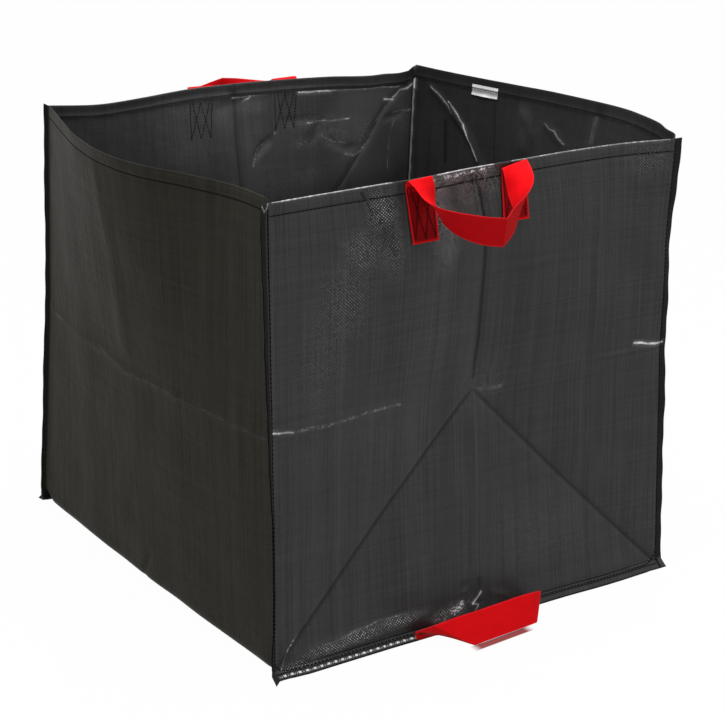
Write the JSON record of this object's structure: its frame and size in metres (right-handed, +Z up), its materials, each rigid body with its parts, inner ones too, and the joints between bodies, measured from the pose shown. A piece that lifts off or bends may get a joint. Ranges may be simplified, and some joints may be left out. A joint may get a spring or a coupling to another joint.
{
  "type": "garden waste bag",
  "caption": "Open square garden waste bag of woven plastic cloth, with a hemmed rim, raised outside seams, webbing handles at the front and back rims and a tipping handle at the foot.",
  "frame": {"origin": "middle of the base, on the ground it stands on", "axes": "+Z up, -Y towards the panel with the tipping handle, X across it from side wall to side wall"},
  "size_m": [0.7382, 0.8107, 0.6117],
  "materials": {
    "woven_cloth": "woven, satin sheen",
    "red_webbing": "woven webbing, matt",
    "black_thread": "thread, matt",
    "label_cloth": "satin ribbon"
  },
  "bodies": {
    "bag": {"side_base_strip": "woven_cloth", "front_panel": "woven_cloth", "front_hem_thread_outer": "black_thread", "front_hem_thread_inner": "black_thread", "front_seam_thread_outer": "black_thread", "front_seam_thread_inner": "black_thread", "front_handle_left_end": "red_webbing", "front_handle_left_thread_outer": "black_thread", "front_handle_left_thread_inner": "black_thread", "front_handle_right_end": "red_webbing", "front_handle_right_thread_outer": "black_thread", "front_handle_right_thread_inner": "black_thread", "back_panel": "woven_cloth", "back_hem_thread_outer": "black_thread", "back_hem_thread_inner": "black_thread", "back_seam_thread_outer": "black_thread", "back_seam_thread_inner": "black_thread", "back_handle_left_end": "red_webbing", "back_handle_left_thread_outer": "black_thread", "back_handle_left_thread_inner": "black_thread", "back_handle_right_end": "red_webbing", "back_handle_right_thread_outer": "black_thread", "back_handle_right_thread_inner": "black_thread", "left_hem_thread_outer": "black_thread", "left_hem_thread_inner": "black_thread", "tipping_handle_left_end": "red_webbing", "tipping_handle_left_thread": "black_thread", "right_hem_thread_outer": "black_thread", "right_hem_thread_inner": "black_thread", "tipping_handle_right_end": "red_webbing", "tipping_handle_right_thread": "black_thread", "care_label_edge": "label_cloth"},
    "front_handle": {"front_handle_loop": "red_webbing"},
    "back_handle": {"back_handle_loop": "red_webbing"},
    "tipping_handle": {"tipping_handle_loop": "red_webbing"},
    "care_label": {"care_label_flap": "label_cloth"}
  },
  "joints": [
    {"name": "front_handle_swing", "type": "hinge", "parent": "bag", "child": "front_handle", "pos_m": [-0.02958, -0.30779, 0.61045], "axis": [-0.9959, -0.0897, -0.0069], "range_deg": [0, 160]},
    {"name": "back_handle_swing", "type": "hinge", "parent": "bag", "child": "back_handle", "pos_m": [0.00818, 0.31519, 0.60858], "axis": [0.9999, -0.0108, -0.0009], "range_deg": [0, 140]},
    {"name": "tipping_handle_swing", "type": "hinge", "parent": "bag", "child": "tipping_handle", "pos_m": [-0.005, -0.33051, 0.00264], "axis": [-1, -0.0068, 0], "range_deg": [0, 45]},
    {"name": "care_label_swing", "type": "hinge", "parent": "bag", "child": "care_label", "pos_m": [0.33109, 0.153, 0.58524], "axis": [-0.1442, 0.9895, -0.009], "range_deg": [0, 90]}
  ]
}
